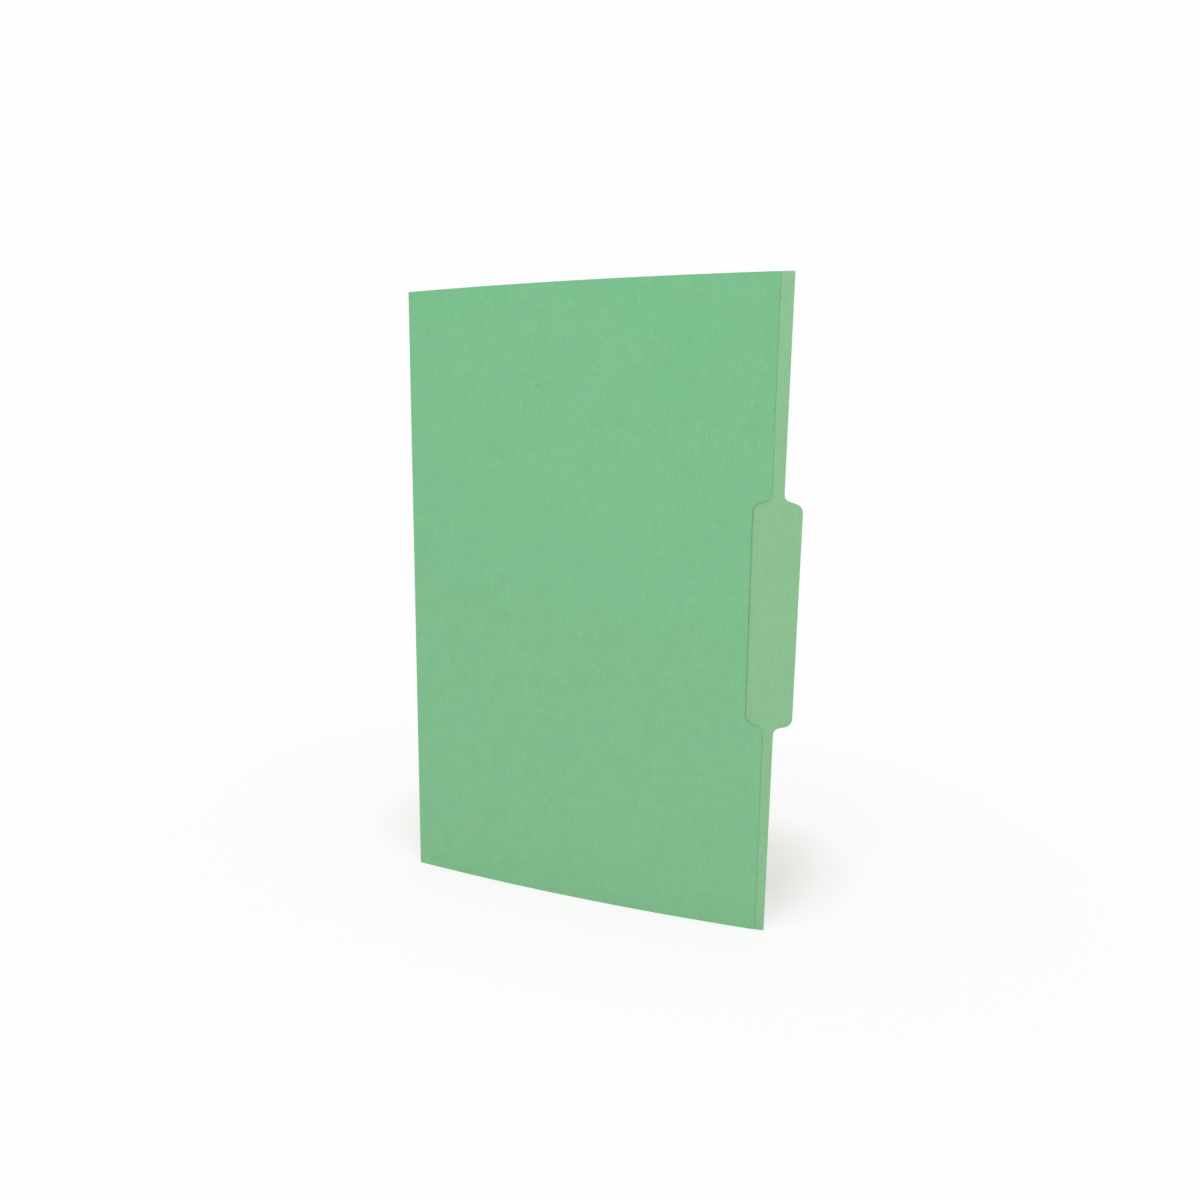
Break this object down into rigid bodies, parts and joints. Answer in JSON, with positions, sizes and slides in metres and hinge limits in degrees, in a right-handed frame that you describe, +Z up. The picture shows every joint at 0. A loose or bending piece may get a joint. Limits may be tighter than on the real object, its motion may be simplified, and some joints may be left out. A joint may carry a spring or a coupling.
{
  "type": "file folder",
  "caption": "Tall card file folder with a creased fold, a cover that swings open and a tab in the middle of the back's free edge.",
  "frame": {"origin": "on the ground, in the middle of the box round the folder as it stands closed on one short end", "axes": "+Z up along the fold, +X across the panels from the fold to the tab, -Y out of the cover, which faces the camera"},
  "size_m": [0.2414, 0.0096, 0.3683],
  "materials": {
    "card_outside": "matte dyed card stock",
    "card_inside": "matte dyed card stock, a little paler"
  },
  "bodies": {
    "back": {"back_panel": "card_inside", "fold": "card_outside"},
    "cover": {"front_panel": "card_outside"}
  },
  "joints": [
    {"name": "cover_fold", "type": "hinge", "parent": "back", "child": "cover", "pos_m": [-0.12066, 0.00285, 0.18415], "axis": [0, 0, -1], "range_deg": [0, 180]}
  ]
}
